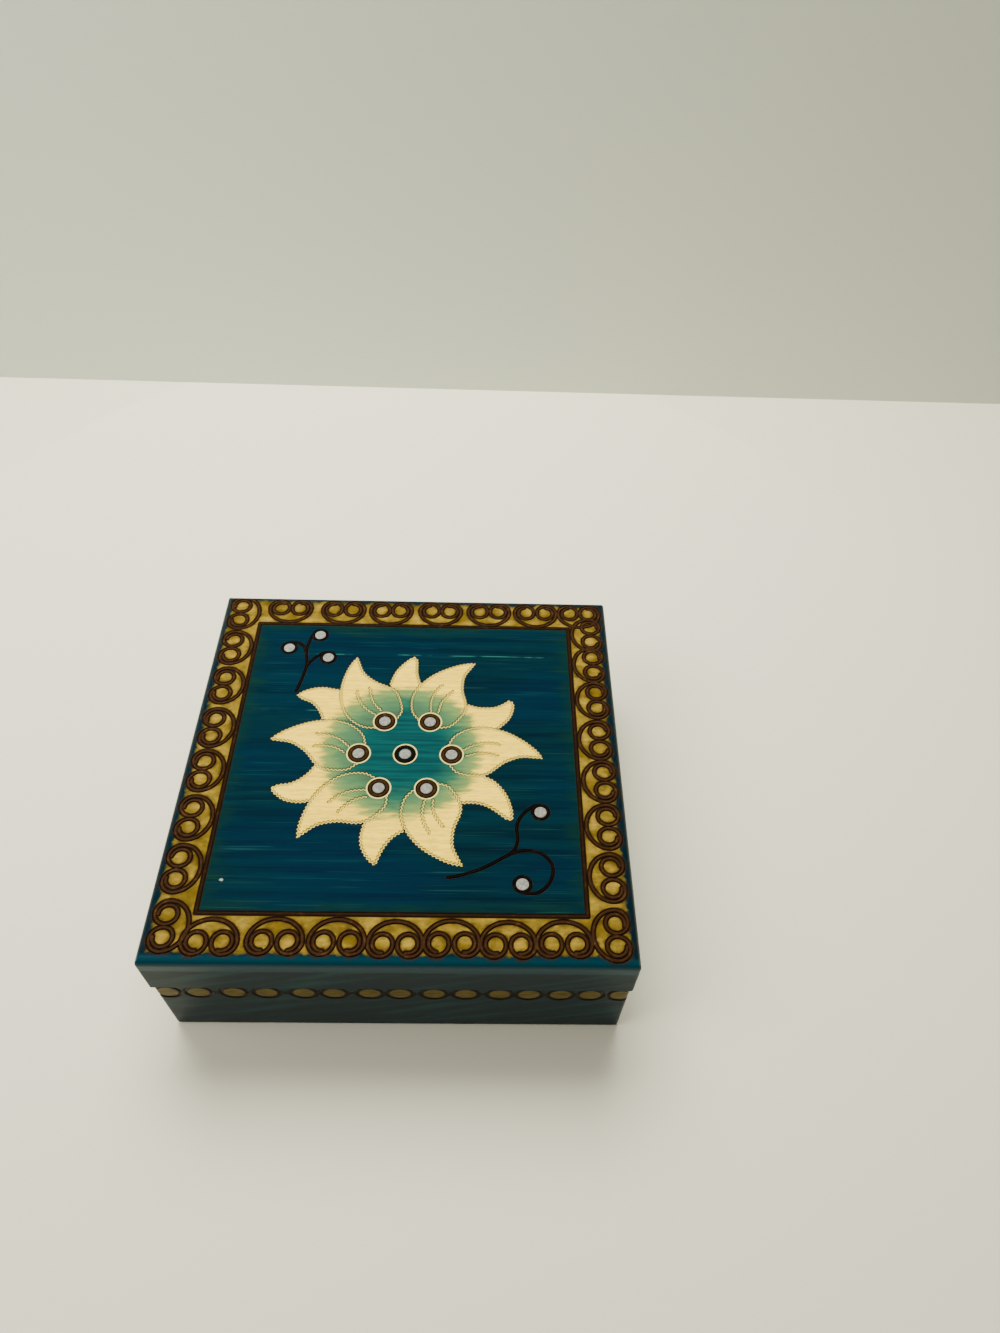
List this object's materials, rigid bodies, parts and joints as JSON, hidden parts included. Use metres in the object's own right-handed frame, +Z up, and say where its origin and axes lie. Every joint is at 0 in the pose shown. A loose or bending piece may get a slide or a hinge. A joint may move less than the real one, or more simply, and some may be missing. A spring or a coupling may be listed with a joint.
{
  "type": "wooden keepsake box",
  "caption": "Square shallow wooden box with a hinged lid, burnt and stained folk carving and round metal inlays on top, and a carved chain border round the sides.",
  "frame": {"origin": "centre of the underside, on the surface the box stands on", "axes": "+X across the width, +Y from the front to the hinged back, +Z up, normal to the lid"},
  "size_m": [0.15, 0.15, 0.0527],
  "materials": {
    "carved_panel_wood": "carved and burnt lime wood, stained deep teal and ochre, gloss lacquered",
    "lid_rail_wood": "lime wood stained dark grey-teal outside, clear lacquer inside",
    "base_wall_wood": "lime wood stained dark grey-teal outside, clear lacquer inside",
    "bottom_plywood": "thin plywood, clear satin lacquer",
    "inlay_metal": "soft white metal, dull polish",
    "hinge_brass": "plain rolled brass, satin",
    "screw_brass": "turned brass, bright"
  },
  "bodies": {
    "base": {"base_front_wall": "base_wall_wood", "base_back_wall": "base_wall_wood", "base_left_wall": "base_wall_wood", "base_right_wall": "base_wall_wood", "base_bottom": "bottom_plywood", "left_hinge_base_leaf": "hinge_brass", "left_hinge_pin": "hinge_brass", "left_hinge_base_screws": "screw_brass", "right_hinge_base_leaf": "hinge_brass", "right_hinge_pin": "hinge_brass", "right_hinge_base_screws": "screw_brass"},
    "lid": {"lid_panel": "carved_panel_wood", "lid_front_rail": "lid_rail_wood", "lid_back_rail": "lid_rail_wood", "lid_left_rail": "lid_rail_wood", "lid_right_rail": "lid_rail_wood", "inlay_centre": "inlay_metal", "inlay_petal_1": "inlay_metal", "inlay_petal_2": "inlay_metal", "inlay_petal_3": "inlay_metal", "inlay_petal_4": "inlay_metal", "inlay_petal_5": "inlay_metal", "inlay_petal_6": "inlay_metal", "inlay_back_sprig_1": "inlay_metal", "inlay_back_sprig_2": "inlay_metal", "inlay_back_sprig_3": "inlay_metal", "inlay_front_sprig_1": "inlay_metal", "inlay_front_sprig_2": "inlay_metal", "left_hinge_lid_leaf": "hinge_brass", "left_hinge_lid_screws": "screw_brass", "right_hinge_lid_leaf": "hinge_brass", "right_hinge_lid_screws": "screw_brass"}
  },
  "joints": [
    {"name": "lid_hinge", "type": "hinge", "parent": "base", "child": "lid", "pos_m": [0, 0.072, 0.0333], "axis": [-1, 0, 0], "range_deg": [0, 100]}
  ]
}
